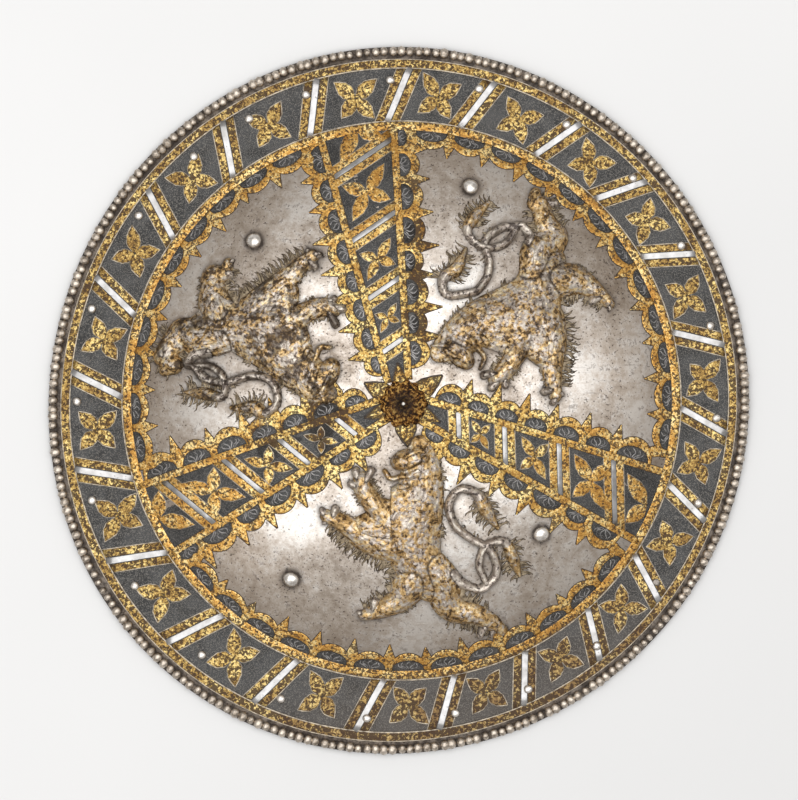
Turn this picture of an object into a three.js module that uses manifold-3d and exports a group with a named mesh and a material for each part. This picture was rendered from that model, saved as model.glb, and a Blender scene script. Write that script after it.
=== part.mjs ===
// Embossed round buckler shield with three rampant lions, in millimetres.
// It lies face up on its turned rim: z = 0 is the lowest line of the rim, +Z points out of the
// face, and +Y is the top of the shield when it hangs on a wall.
import * as THREE from "three";
import { mergeVertices } from "three/addons/utils/BufferGeometryUtils.js";
import Module from "manifold-3d";

const DIAMETER = 350;
const SHEET = 2; // thickness of the steel
const RIM_ROLL = 2.6; // radius of the turned edge
const FLANGE_Z = 3.6; // height of the border's face
const DOME_RADIUS = 137; // where the flat border meets the dome
const DOME_RISE = 42;
const AROUND = 56; // facets around the shield
const ROLL_STEPS = 3; // facets in each half of the turned edge
const GAP = 0.3; // clearance around each rivet

const SMALL_RIVETS = 23;
const SMALL_HEAD = 2.3;
// The small rivets were spaced by eye: degrees from each to the next.
const SMALL_STEPS = [15.4, 14.9, 15.2, 16.9, 16, 15.4, 11, 12, 14.5, 18.6, 16.7, 17.7, 16.9, 17.1, 16.1, 15.8,
  16, 13.9, 14.8, 16, 16.4, 15.9];
const SHEARED_RIVET = 21; // counted from the right, anticlockwise: its head is gone
const LARGE_HEAD = 4;
const BORE_SIDES = 6;
// Radius and angle of the four rivets in the fields.
const LARGE_RIVETS = [[111.6, 72.1], [107.9, 132.7], [104.3, 238.3], [95.8, 316.3]];

const MOVE_REACH = 5; // how closely a place on a lion follows the nearest listed move

// The lions are one design in three fields. Each field gives its direction from the centre and how
// the carver strayed from the first lion: at a place on the design, the move across and outwards.
const FIELDS = [
  { towards: 270, moves: [] },
  { towards: 30, moves: [[9, 22, 2, 6], [-3, 31, 2, 7], [0, 43, 4, 8], [-20, 38, 6, 7], [-37, 56, 1, 10],
    [19, 50, 5, 8], [-8, 79, 3, 11], [22, 80, 4, 5], [5, 90, 8, 8], [-18, 106, 9, 7], [22, 92, 10, 6],
    [36, 106, 9, 1], [50, 114, 6, -5], [47, 83, 2, 1], [26, 58, 5, 5], [36, 45, 4, 1], [43, 57, 1, 2],
    [55, 78, 6, -1]] },
  { towards: 150, moves: [[9, 22, 6, 11], [-3, 31, 4, 8], [0, 43, 2, 10], [-20, 38, -2, 13],
    [-37, 56, -3, 17], [19, 60, 1, 12], [-8, 79, 3, 14], [24, 86, 2, 9], [5, 90, 2, 11], [-3, 99, -1, 11],
    [-18, 106, 3, 2], [21, 94, 3, 12], [31, 104, 4, 8], [50, 114, -4, -5], [47, 83, -8, 6],
    [26, 58, 0, 8], [34, 44, 2, 9], [43, 57, -2, 8], [55, 78, -9, 9]] },
];
// Every limb is a chain of stations: across, out from the shield's centre, half width, height.
const LION = {
  trunk: { sides: 8, path: [[9, 22, 5, 2], [9.5, 32, 9.5, 4.4], [9, 46, 12, 5],
    [2.5, 62, 17.5, 6], [6, 75, 13.5, 5.5], [11, 85, 11, 5], [14, 93, 7, 3.5]] },
  muzzle: { path: [[8, 29, 6, 4.5], [2, 30, 4.6, 4.6], [-3.5, 31, 3, 3.4]] },
  jaw: { path: [[8, 40, 4, 4], [3, 42, 3, 3.6], [-1, 42.6, 1.8, 2.6]] },
  tongue: { path: [[2, 37, 1.6, 3], [-5, 38.4, 1.5, 2.6], [-8.3, 34.6, 1.2, 2.2]] },
  upperForeleg: { sides: 8, path: [[-5, 61, 8, 5], [-13, 52, 5.6, 4.6], [-18.5, 44, 5, 4.2],
    [-20, 38.5, 4, 3.6]] },
  upperClaw: { path: [[-21, 40, 1.8, 3], [-22.5, 34.6, 2.2, 3]] },
  innerClaw: { path: [[-18, 40, 1.8, 3], [-15, 34.4, 2.2, 3]] },
  lowerForeleg: { sides: 8, path: [[-5, 71, 10, 5.4], [-18, 67.5, 7.4, 4.8], [-28, 61, 5, 4.2],
    [-37, 57, 3.4, 3.4]] },
  lowerClaw: { path: [[-34, 58, 1.8, 3], [-32.6, 53.4, 2.2, 3]] },
  frontHindleg: { sides: 8, path: [[9, 84, 7, 4.5], [5, 90, 9.4, 6], [-1, 98.5, 6.6, 5],
    [-10, 103.6, 4.6, 4], [-19, 106.6, 2.8, 3]] },
  frontHindClaw: { path: [[-14, 103, 1.8, 3], [-13.3, 99.6, 2.3, 3]] },
  backHindleg: { sides: 8, path: [[14, 82, 9, 5], [21, 90, 8.6, 5.6], [21.5, 98, 8, 5],
    [26.5, 104, 6.8, 4.6], [36, 106, 5.4, 4.2], [44, 110, 4.6, 3.8], [50, 114.5, 3, 3]] },
  backHindClaw: { path: [[42, 111, 2.4, 3], [39, 116.8, 1.8, 2.6]] },
  tail: { path: [[24, 86, 4, 4], [31, 91, 2.6, 3.4], [40, 93, 2.3, 3.2], [47, 85, 2.3, 3.2],
    [44, 74, 2.3, 3.2], [34, 68, 2.2, 3.2], [26, 61, 2.2, 3.2], [23.4, 51, 2.2, 3.2],
    [29, 43.6, 2.2, 3.2], [37, 46, 2.6, 3.2], [41, 53, 3.8, 3.6], [47.5, 63, 1.2, 1.6]] },
  secondTail: { path: [[42, 90.5, 1.8, 2.8], [38.4, 81, 2, 3], [42, 71, 2, 3], [51, 70, 2.4, 3],
    [55, 78, 3.4, 3.4], [58.6, 87, 1, 1.6]] },
};

const PETALS = { // around the boss: direction, length, half width
  large: [[38, 23.5, 5.2], [149, 21, 5.2], [276, 20, 5.2]],
  small: [[98, 20, 3.4], [200, 20, 3.4], [333, 20, 3.4]],
};
const BOSS_RADIUS = 12.5;
const BOSS_HEIGHT = 5.5;
const BOSS_FLUTES = 9;

const wasm = await Module();
wasm.setup();

const radians = THREE.MathUtils.degToRad;

// The dome is a cap of a sphere on the flat border.
const CAP_SPHERE = (DOME_RADIUS ** 2 + DOME_RISE ** 2) / (2 * DOME_RISE);
function faceHeight(radius) {
  if (radius >= DOME_RADIUS) return FLANGE_Z;
  return FLANGE_Z + DOME_RISE - CAP_SPHERE + Math.sqrt(CAP_SPHERE ** 2 - radius ** 2);
}

function facePoint(x, y) {
  const radius = Math.hypot(x, y);
  const lean = radius < DOME_RADIUS ? radius / CAP_SPHERE : 0;
  const normal = new THREE.Vector3(0, 0, Math.sqrt(1 - lean ** 2));
  if (radius > 0) normal.add(new THREE.Vector3((x / radius) * lean, (y / radius) * lean, 0));
  return { point: new THREE.Vector3(x, y, faceHeight(radius)), normal };
}

function toManifold(geometry) {
  const bare = new THREE.BufferGeometry()
    .setAttribute("position", geometry.getAttribute("position"))
    .setIndex(geometry.index);
  const merged = mergeVertices(bare, 1e-4);
  return new wasm.Manifold(new wasm.Mesh({
    numProp: 3,
    vertProperties: merged.attributes.position.array,
    triVerts: new Uint32Array(merged.index.array),
  }));
}

function toGeometry(manifold) {
  const mesh = manifold.getMesh();
  return new THREE.BufferGeometry()
    .setAttribute("position", new THREE.BufferAttribute(mesh.vertProperties, 3))
    .setIndex(new THREE.BufferAttribute(mesh.triVerts, 1));
}

// A closed skin over rings of points, with one point at each end. The rings run from the first
// tip to the last, each anticlockwise as seen from the last tip.
function skin(firstTip, rings, lastTip) {
  const count = rings[0].length;
  const positions = [firstTip, ...rings.flat(), lastTip].flatMap((p) => [p.x, p.y, p.z]);
  const at = (ring, i) => 1 + ring * count + (i % count);
  const last = positions.length / 3 - 1;
  const faces = [];
  for (let i = 0; i < count; i++) {
    faces.push(0, at(0, i + 1), at(0, i));
    for (let ring = 0; ring < rings.length - 1; ring++)
      faces.push(at(ring, i), at(ring, i + 1), at(ring + 1, i + 1),
        at(ring, i), at(ring + 1, i + 1), at(ring + 1, i));
    faces.push(last, at(rings.length - 1, i), at(rings.length - 1, i + 1));
  }
  return new THREE.BufferGeometry()
    .setAttribute("position", new THREE.Float32BufferAttribute(positions, 3))
    .setIndex(faces);
}

// A turned body: the profile runs from its lowest point on the axis to its highest.
function turned(profile, around, radiusAt = (radius) => radius) {
  const rings = profile.slice(1, -1).map(([radius, z]) =>
    Array.from({ length: around }, (_, i) => {
      const angle = (2 * Math.PI * i) / around;
      const r = radiusAt(radius, angle);
      return new THREE.Vector3(r * Math.cos(angle), r * Math.sin(angle), z);
    }));
  const tip = ([, z]) => new THREE.Vector3(0, 0, z);
  return skin(tip(profile[0]), rings, tip(profile.at(-1)));
}

// The outline was hammered round by eye: the border strays out and in, by these amounts in mm.
function hammered(radius, angle) {
  const share = THREE.MathUtils.smoothstep(radius, DOME_RADIUS + 4, DIAMETER / 2 - 4);
  const stray = 1.42 - 1.85 * Math.cos(angle) - 0.33 * Math.sin(angle) - 0.79 * Math.cos(2 * angle)
    + 1.27 * Math.sin(2 * angle) + 0.52 * Math.cos(3 * angle) - 0.5 * Math.sin(3 * angle);
  return radius + share * stray;
}

function plateProfile() {
  const rollRadius = DIAMETER / 2 - RIM_ROLL;
  const roll = [];
  const ends = Math.PI - Math.asin((FLANGE_Z - RIM_ROLL) / RIM_ROLL); // where it meets the sheet
  for (let step = -ROLL_STEPS; step <= ROLL_STEPS; step++) {
    const turn = (ends * step) / ROLL_STEPS;
    roll.push([rollRadius + RIM_ROLL * Math.cos(turn), RIM_ROLL * (1 + Math.sin(turn))]);
  }
  const domeSteps = [0.93, 0.8, 0.62, 0.42, 0.21];
  const inner = DOME_RADIUS - SHEET / 2;
  const under = [0.25, 0.5, 0.72, 0.9].map((s) => [s * inner, faceHeight(s * inner) - SHEET]);
  const over = domeSteps.map((s) => [s * DOME_RADIUS, faceHeight(s * DOME_RADIUS)]);
  const back = FLANGE_Z - SHEET;
  return [
    [0, faceHeight(0) - SHEET], ...under, [inner, back],
    ...roll,
    [DOME_RADIUS, FLANGE_Z], ...over, [0, faceHeight(0)],
  ];
}

// A tapering limb that lies on the dome: an oval section is carried along a smooth curve.
function limb(path, place, sides = 6) {
  const curve = new THREE.CatmullRomCurve3(path.map(([x, out]) => new THREE.Vector3(x, out, 0)));
  const sizes = new THREE.CatmullRomCurve3(path.map(([, , w, h]) => new THREE.Vector3(w, h, 0)));
  const count = path.length - 1;
  const centres = [], rings = [];
  for (let k = 0; k <= count; k++) {
    const here = curve.getPoint(k / count), ahead = curve.getTangent(k / count);
    const size = sizes.getPoint(k / count);
    const width = Math.max(size.x, 0.6);
    const height = Math.max(size.y, 0.6);
    const [x, y] = place(here.x, here.y);
    const [x2, y2] = place(here.x + ahead.x * 0.1, here.y + ahead.y * 0.1);
    const { point, normal } = facePoint(x, y);
    const along = new THREE.Vector3(x2 - x, y2 - y, facePoint(x2, y2).point.z - point.z).normalize();
    const side = new THREE.Vector3().crossVectors(normal, along).normalize();
    centres.push({ point, along, width });
    rings.push(Array.from({ length: sides }, (_, i) => {
      const turn = (2 * Math.PI * (i + 0.5)) / sides;
      const rise = Math.sin(turn) > 0 ? height : SHEET * 0.6;
      return point.clone().addScaledVector(side, width * Math.cos(turn))
        .addScaledVector(normal, rise * Math.sin(turn));
    }));
  }
  const end = (centre, way) => centre.point.clone().addScaledVector(centre.along, way * centre.width * 0.55);
  return skin(end(centres[0], -1), rings, end(centres.at(-1), 1));
}

// Places on the design near a listed one move with it, and between them the moves blend.
function strayed(x, out, moves) {
  let total = 1e-9, across = 0, away = 0;
  for (const [atX, atOut, dx, dOut] of moves) {
    const weight = 1 / ((x - atX) ** 2 + (out - atOut) ** 2 + MOVE_REACH ** 2) ** 2;
    total += weight;
    across += weight * dx;
    away += weight * dOut;
  }
  return [x + across / total, out + away / total];
}

function fieldPlace({ towards, moves = [] }) {
  const turn = radians(towards);
  return (x, out) => {
    const [sx, sd] = strayed(x, out, moves);
    return [sd * Math.cos(turn) - sx * Math.sin(turn), sd * Math.sin(turn) + sx * Math.cos(turn)];
  };
}

function petal([towards, length, width]) {
  const place = fieldPlace({ towards });
  const path = [[0, 6, width * 0.7, 2.4], [0, length * 0.62, width, 2], [0, length - 2, width * 0.45, 1.2],
    [0, length - 0.6, 0.5, 0.6]];
  return limb(path, place);
}

function boss() {
  const top = faceHeight(0);
  const profile = [[0, top - SHEET * 0.6], [BOSS_RADIUS * 0.9, top - SHEET * 0.7], [BOSS_RADIUS, top],
    [BOSS_RADIUS * 0.8, top + BOSS_HEIGHT * 0.6], [BOSS_RADIUS * 0.42, top + BOSS_HEIGHT * 0.95],
    [0, top + BOSS_HEIGHT * 0.8]];
  return turned(profile, BOSS_FLUTES * 2, (radius, angle) =>
    radius * (1 + 0.05 * Math.cos(BOSS_FLUTES * angle)));
}

// The small rivets were spaced by eye: closer at the upper left, wider at the lower left.
function smallRivetPlace(index) {
  let angle = 13.6;
  for (const step of SMALL_STEPS.slice(0, index)) angle += step;
  const radius = 160.2 + 2.2 * Math.cos(radians(angle - 168)) + 1.6 * Math.cos(radians(2 * angle - 88));
  return [radius, angle];
}

const sidesOf = (head) => (head === LARGE_HEAD ? 10 : 7);

function rivetGeometry(head, shank, rise) {
  return turned([[0, -SHEET - head * 0.6],
    [head * 0.75, -SHEET - GAP], [shank, -SHEET - GAP], [shank, GAP], [head, GAP],
    [head * 0.72, GAP + rise * 0.7], [0, GAP + rise]], sidesOf(head));
}

const steel = new THREE.MeshStandardMaterial({ color: 0xaaa39d, roughness: 0.38, metalness: 1 });
const rivetSteel = new THREE.MeshStandardMaterial({ color: 0xc4bfba, roughness: 0.3, metalness: 1 });

const shield = new THREE.Group();
let plate = toManifold(turned(plateProfile(), AROUND, hammered));
const forms = [toManifold(boss()), ...[...PETALS.large, ...PETALS.small].map((p) => toManifold(petal(p)))];
for (const field of FIELDS) {
  const place = fieldPlace(field);
  for (const { path, sides } of Object.values(LION)) forms.push(toManifold(limb(path, place, sides)));
}
for (const form of forms) plate = plate.add(form);

function addRivet(name, [radius, degrees], head, shank, rise) {
  const angle = radians(degrees);
  const { point, normal } = facePoint(radius * Math.cos(angle), radius * Math.sin(angle));
  const mesh = new THREE.Mesh(rivetGeometry(head, shank, rise), rivetSteel);
  mesh.name = name;
  mesh.position.copy(point);
  mesh.quaternion.setFromUnitVectors(new THREE.Vector3(0, 0, 1), normal);
  const boreRadius = (shank + GAP) / Math.cos(Math.PI / BORE_SIDES);
  const bore = turned([[0, -3 * SHEET], [boreRadius, -3 * SHEET], [boreRadius, 3 * SHEET], [0, 3 * SHEET]],
    BORE_SIDES);
  mesh.updateMatrix();
  plate = plate.subtract(toManifold(bore.applyMatrix4(mesh.matrix)));
  shield.add(mesh);
}

for (let i = 0; i < SMALL_RIVETS; i++) {
  const place = smallRivetPlace(i);
  const name = "border_rivet_" + String(i + 1).padStart(2, "0");
  addRivet(name, place, i + 1 === SHEARED_RIVET ? 1.9 : SMALL_HEAD, 1.1, i + 1 === SHEARED_RIVET ? 0.5 : 1.9);
}
LARGE_RIVETS.forEach((place, i) => addRivet("field_rivet_" + (i + 1), place, LARGE_HEAD, 2, 3));

const plateMesh = new THREE.Mesh(toGeometry(plate), steel);
plateMesh.name = "shield_plate";
shield.add(plateMesh);

export default shield;
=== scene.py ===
import math
import bpy
import numpy as np
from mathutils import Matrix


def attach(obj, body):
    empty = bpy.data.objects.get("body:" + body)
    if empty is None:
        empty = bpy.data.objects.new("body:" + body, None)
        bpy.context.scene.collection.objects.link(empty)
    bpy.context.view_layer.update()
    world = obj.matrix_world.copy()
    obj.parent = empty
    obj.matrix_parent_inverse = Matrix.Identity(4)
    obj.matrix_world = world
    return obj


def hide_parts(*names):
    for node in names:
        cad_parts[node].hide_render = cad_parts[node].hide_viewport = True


# Looks of a round embossed buckler. Shapes are worked out in millimetres and turned into metres
# when a mesh is made. Angles are degrees anticlockwise from +X, seen from the front.

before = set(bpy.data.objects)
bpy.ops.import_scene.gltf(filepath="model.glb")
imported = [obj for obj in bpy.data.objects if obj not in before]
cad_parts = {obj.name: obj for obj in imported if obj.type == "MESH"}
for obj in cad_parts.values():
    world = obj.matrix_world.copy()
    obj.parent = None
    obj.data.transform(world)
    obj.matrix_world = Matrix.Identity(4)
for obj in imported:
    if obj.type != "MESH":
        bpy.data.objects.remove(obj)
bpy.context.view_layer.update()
print("frame loaded,", len(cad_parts), "nodes")

shield = {
    "radius": 175.0, "sheet": 2.0, "roll": 2.6, "border": 3.6,
    "dome": 137.0, "rise": 42.0,
    "boss": (0.9, -1.6),    # middle of the boss
    "fillet": 1.6,          # softness of the line where dome and border meet
    "hammer": 0.07,         # depth of the planishing marks
}
capSphere = (shield["dome"] ** 2 + shield["rise"] ** 2) / (2 * shield["rise"])


def smoothStep(value, low, high):
    share = np.clip((value - low) / (high - low), 0, 1)
    return share * share * (3 - 2 * share)


def faceHeight(radius):
    # height of a cap of a sphere, run softly into the flat border: (a + sqrt(a^2 + k^2)) / 2
    cap = shield["rise"] - capSphere + np.sqrt(capSphere ** 2 - radius ** 2)
    return shield["border"] + (cap + np.sqrt(cap ** 2 + shield["fillet"] ** 2)) / 2


def hammerMarks(x, y):
    # planishing marks: slow waves across each other, bent by one another
    a = np.sin(x / 7.1 + 1.7 * np.sin(y / 13.0)) * np.cos(y / 6.3 + 1.1 * np.sin(x / 15.0))
    b = np.sin(x / 17.0 - y / 21.0) * np.cos(y / 14.0 + x / 33.0)
    return shield["hammer"] * (a + 1.6 * b)


def outlineShift(radius, angle):
    # the hammered outline strays out and in by a few slow waves around the border
    share = smoothStep(radius, shield["dome"] + 4, shield["radius"] - 4)
    stray = (1.42 - 1.85 * np.cos(angle) - 0.33 * np.sin(angle) - 0.79 * np.cos(2 * angle)
             + 1.27 * np.sin(2 * angle) + 0.52 * np.cos(3 * angle) - 0.5 * np.sin(3 * angle))
    return share * stray


def onFace(x, y, lift=0.0):
    # the point over (x, y), lifted along the surface's own normal
    radius = np.hypot(x, y)
    safe = np.maximum(radius, 1e-6)
    slope = (faceHeight(radius + 0.05) - faceHeight(np.abs(radius - 0.05))) / 0.1
    length = np.sqrt(1 + slope ** 2)
    out = radius + outlineShift(radius, np.arctan2(y, x)) - lift * slope / length
    z = faceHeight(radius) + hammerMarks(x, y) + lift / length
    return np.stack([x / safe * out, y / safe * out, z], axis=-1)


def polar(radius, degrees):
    angle = np.radians(degrees)
    return np.stack([radius * np.cos(angle), radius * np.sin(angle)], axis=-1)


def unit(vectors):
    return vectors / np.linalg.norm(vectors, axis=-1, keepdims=True)


def quarterTurn(vectors):
    return np.stack([-vectors[..., 1], vectors[..., 0]], axis=-1)

def circle(count):
    return 2 * np.pi * np.arange(count) / count


def joined(parts):
    # several shapes as one; a shape is a pair of points and arrays of vertex numbers, a row a face
    points, sets, base = [], [], 0
    for part, faces in parts:
        points.append(part)
        sets += [f + base for f in faces]
        base += len(part)
    return np.vstack(points), sets


def addObject(name, data):
    made = bpy.data.objects.new(name, data)
    bpy.context.scene.collection.objects.link(made)
    return made


def makeMesh(name, look, points, faceSets):
    mesh = bpy.data.meshes.new(name)
    faces = [face for faceSet in faceSets for face in faceSet.tolist()]
    mesh.from_pydata((points * 0.001).tolist(), [], faces)
    mesh.validate()
    mesh.shade_smooth()
    mesh.materials.append(finishes[look])
    return addObject(name, mesh)


def makePiece(name, look, *shapes, values=None, slot="etched_steel", nodes=()):
    # one piece out of its shapes, with values at its points as attributes
    piece = makeMesh(name, look, *joined(shapes))
    for key, data in (values or {}).items():
        data = np.asarray(data, dtype=np.float32)
        kind, field = ("FLOAT", "value") if data.ndim == 1 else ("FLOAT_VECTOR", "vector")
        piece.data.attributes.new(key, kind, "POINT").data.foreach_set(field, data.ravel())
    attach(piece, "root")
    if nodes:
        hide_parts(*nodes)


def ringFaces(rings, around):
    # quads between closed rings of points, each ring anticlockwise seen from the last one
    ring, step = np.meshgrid(np.arange(rings - 1), np.arange(around), indexing="ij")
    here, beside = ring * around + step, ring * around + (step + 1) % around
    return np.stack([here, beside, beside + around, here + around], axis=-1).reshape(-1, 4)


def closedFaces(rings, around):
    # rings closed by two poles, the first ring's and the last one's, that follow them in the list
    here, last = np.arange(around), (rings - 1) * around
    beside, pole = (here + 1) % around, np.full(around, rings * around)
    caps = [np.stack([pole, beside, here], -1), np.stack([pole + 1, last + here, last + beside], -1)]
    return [ringFaces(rings, around), np.vstack(caps)]


def smoothPath(stations, perSpan):
    # Catmull-Rom curve through the stations, with every column of a station carried along
    s = np.asarray(stations, dtype=float)
    padded = np.vstack([2 * s[0] - s[1], s, 2 * s[-1] - s[-2]])
    t = (np.arange(perSpan) / perSpan)[:, None, None]
    p0, p1, p2, p3 = (padded[i:len(padded) - 3 + i][None] for i in range(4))
    curve = 0.5 * (2 * p1 + (p2 - p0) * t + (2 * p0 - 5 * p1 + 4 * p2 - p3) * t ** 2
                   + (3 * p1 - p0 - 3 * p2 + p3) * t ** 3)
    return np.vstack([curve.transpose(1, 0, 2).reshape(-1, s.shape[1]), s[-1:]])


acrossSteps = np.array([-1.0, -0.9, -0.55, 0.0, 0.55, 0.9, 1.0])


def inlay(paths, halfWidths, lift, crown, sink=0.35, groove=0.0, steps=acrossSteps):
    # many closed strips at once: paths is strips x stations x 2, each strip's section is crowned
    # by lift + crown * (1 - v^2) and may have a groove down its middle
    paths, halfWidths = np.asarray(paths, float), np.asarray(halfWidths, float)
    along = np.gradient(paths, axis=1)
    along /= np.linalg.norm(along, axis=2, keepdims=True) + 1e-9
    side = quarterTurn(along)
    v = np.concatenate([steps, [1.0, -1.0]])
    rise = np.concatenate([lift + crown * (1 - steps ** 2)
                           - groove * np.exp(-(steps / 0.25) ** 2), [-sink, -sink]])
    plan = paths[:, :, None, :] + side[:, :, None, :] * (halfWidths[..., None] * v)[..., None]
    points = onFace(plan[..., 0], plan[..., 1], np.broadcast_to(rise, plan.shape[:3]))
    strips, stations, section = plan.shape[:3]
    one = ringFaces(stations, section)[:, ::-1]
    base = (np.arange(strips) * stations * section)[:, None, None]
    quads = (base + one[None]).reshape(-1, 4)
    head = np.arange(section)
    caps = np.concatenate([base[:, 0] + head, base[:, 0] + (stations - 1) * section + head[::-1]])
    return points.reshape(-1, 3), [quads, caps]

def lobedWidths(count):
    # half width of a petal from foot to tip: two soft lobes, then a drawn-out point
    return np.interp(np.linspace(0, 1, count), [0, 0.1, 0.28, 0.4, 0.49, 0.6, 0.7, 0.8, 0.92, 1],
                     [0.16, 0.42, 0.92, 1.0, 0.9, 0.95, 0.7, 0.52, 0.2, 0.02])


class Wire:
    # a socket that plain arithmetic can be done on; each operator adds one Math node
    def __init__(self, finish, socket):
        self.finish, self.socket = finish, socket

    def math(self, operation, *others, swapped=False):
        sides = [*others, self] if swapped else [self, *others]
        return self.finish.node("ShaderNodeMath", {"operation": operation}, sides)

    def __add__(self, other):
        return self.math("ADD", other)

    def __sub__(self, other):
        return self.math("SUBTRACT", other)

    def __rsub__(self, other):
        return self.math("SUBTRACT", other, swapped=True)

    def __mul__(self, other):
        return self.math("MULTIPLY", other)

    __radd__, __rmul__ = __add__, __mul__

    def clamp(self):
        return self.math("MINIMUM", 1.0).math("MAXIMUM", 0.0)

    def between(self, low, high):
        # 0 below low, 1 above high, eased between
        return self.finish.node("ShaderNodeMapRange", {"interpolation_type": "SMOOTHSTEP"},
                                {"Value": self, "From Min": low, "From Max": high})


class Finish:
    # one material: node() makes any node, done() feeds the surface shader
    def __init__(self, name):
        self.material = bpy.data.materials.new(name)
        self.material.use_nodes = True
        self.tree = self.material.node_tree
        self.place = self.node("ShaderNodeTexCoord", output="Object")

    def node(self, kind, settings=None, values=None, output=0):
        made = self.tree.nodes.new(kind)
        for key, setting in (settings or {}).items():
            if key == "stops":
                ramp = made.color_ramp
                while len(ramp.elements) < len(setting):
                    ramp.elements.new(0.5)
                for element, (position, color) in zip(ramp.elements, setting):
                    element.position, element.color = position, shade(color)
            else:
                setattr(made, key, setting)
        pairs = values.items() if isinstance(values, dict) else enumerate(values or [])
        for key, value in pairs:
            self.feed(made.inputs[key], value)
        return Wire(self, made.outputs[output])

    def feed(self, socket, value):
        if isinstance(value, Wire):
            self.tree.links.new(value.socket, socket)
        else:
            socket.default_value = shade(value) if socket.type == "RGBA" else value

    def noise(self, size, detail=4.0, rough=0.6, where=None, warp=0.0):
        # size is the width in millimetres of the largest blotches
        return self.node("ShaderNodeTexNoise", None, {
            "Vector": where or self.place, "Scale": 1000.0 / size if where is None else 1.0 / size,
            "Detail": detail, "Roughness": rough, "Distortion": warp})

    def ramp(self, value, *stops):
        return self.node("ShaderNodeValToRGB", {"stops": stops}, [value])

    def mix(self, factor, low, high):
        return self.node("ShaderNodeMix", {"data_type": "RGBA"}, {0: factor, 6: low, 7: high}, 2)

    def coats(self, color, *layers):
        # each layer is a mask and a colour, and covers the ones before it
        for mask, coat in layers:
            color = self.mix(mask, color, coat)
        return color

    def attribute(self, name, output="Fac"):
        return self.node("ShaderNodeAttribute", {"attribute_name": name}, output=output)

    def axes(self, vector=None):
        split = self.node("ShaderNodeSeparateXYZ", None, [vector or self.place])
        return [Wire(self, out) for out in split.socket.node.outputs]

    def vector(self, *parts):
        return self.node("ShaderNodeCombineXYZ", None, parts)

    def radius(self, left=0.0, up=0.0):
        # millimetres from the shield's axis, or from a place beside it
        x, y, z = self.axes()
        x, y = x * 1000 - left, y * 1000 - up
        return (x * x + y * y).math("SQRT")

    def done(self, color, metal, rough, height=None, depth=0.1):
        # depth is that of the bumps in millimetres
        metal, rough = (v.clamp() if isinstance(v, Wire) else v for v in (metal, rough))
        feeds = {"Base Color": color, "Metallic": metal, "Roughness": rough}
        if height:
            feeds["Normal"] = self.node("ShaderNodeBump", None, {
                "Height": height, "Distance": depth * 0.001, "Strength": 1.0})
        for name, value in feeds.items():
            self.feed(self.tree.nodes["Principled BSDF"].inputs[name], value)
        return self.material


def shade(color):
    # a screen colour, or a plain grey, as the linear values that nodes use
    if isinstance(color, float):
        return (color, color, color, 1)
    parts = [int(color[i:i + 2], 16) / 255 for i in (0, 2, 4)]
    return (*[p / 12.92 if p <= 0.04045 else ((p + 0.055) / 1.055) ** 2.4 for p in parts], 1)


# Places around the border where the gilding is rubbed brown: direction, start of the patch.
rubbed = [(285, 105.0), (116, 150.0)]
rubbedFade = 60


def rubbedMask(finish):
    x, y, z = finish.axes()
    total = None
    for degrees, start in rubbed:
        reach = (x * math.cos(math.radians(degrees)) + y * math.sin(math.radians(degrees))) * 1000
        part = reach.between(start, start + rubbedFade)
        total = part if total is None else total + part
    return total.clamp()


# Blackened places on the bands: x, y, reach, strength.
smudges = [(-41, -19, 11, 1.0), (-38, -6, 10, 1.0), (-64, -22, 10, 0.8), (9, 82, 9, 0.9),
           (10, 60, 9, 0.95), (9, 38, 9, 0.95), (6, 108, 8, 0.8)]


def smudgeMask(finish, ragged):
    clean = None
    for left, up, reach, strength in smudges:
        gap = finish.radius(left, up) + (ragged - 0.5) * reach * 4
        part = 1 - (1 - gap.between(reach * 0.5, reach)) * strength
        clean = part if clean is None else clean * part
    return 1 - clean


def steelFinish():
    finish = Finish("etched steel")
    cloud, fine, grain = finish.noise(38, 3, 0.55), finish.noise(4.5, 6, 0.65), finish.noise(0.9, 3, 0.6)
    pits = 1 - (finish.noise(1.2, 2, 0.5) + (cloud - 0.5) * 0.2).between(0.31, 0.38)
    specks = finish.noise(4.5, 6, 0.75, warp=0.4).between(0.57, 0.63)
    scratchPlace = finish.node("ShaderNodeMapping", None, {
        "Vector": finish.place, "Rotation": (0, 0, 0.6), "Scale": (60, 1900, 60)})
    scratch = finish.noise(1.0, 2, 0.5, scratchPlace).between(0.68, 0.74)
    # the plate's darkening attribute: real stains and patina, painted shade at the dome's foot, and darker
    # places near the lions, rivets and turned edge
    grime = finish.attribute("grime")
    dirtAndShade = (grime + grime * (fine - 0.5) * 2.2).clamp()
    color = finish.ramp(cloud * 0.45 + fine * 0.4 + grain * 0.15,
                        (0.38, "8b7f73"), (0.5, "c4bab0"), (0.59, "e7e3de"))
    # darker and browner out towards the dome's foot: painted shade of the slope, partly a warm brown tone of
    # the steel
    color = finish.coats(color, (finish.radius().between(60, 132) * 0.5, "938270"),
                         (specks * 0.55, "6b5f57"), (scratch * 0.3, "7d746c"),
                         (pits * 0.75, "453c36"), (dirtAndShade * 0.95, "2b211a"))
    return finish.done(color, 1 - dirtAndShade * 0.5, 0.3 + fine * 0.14 + dirtAndShade * 0.25 + pits * 0.2,
                       fine * 0.5 + grain * 0.12 - pits * 0.5 - scratch * 0.25 - dirtAndShade * 0.3, 0.12)


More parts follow.
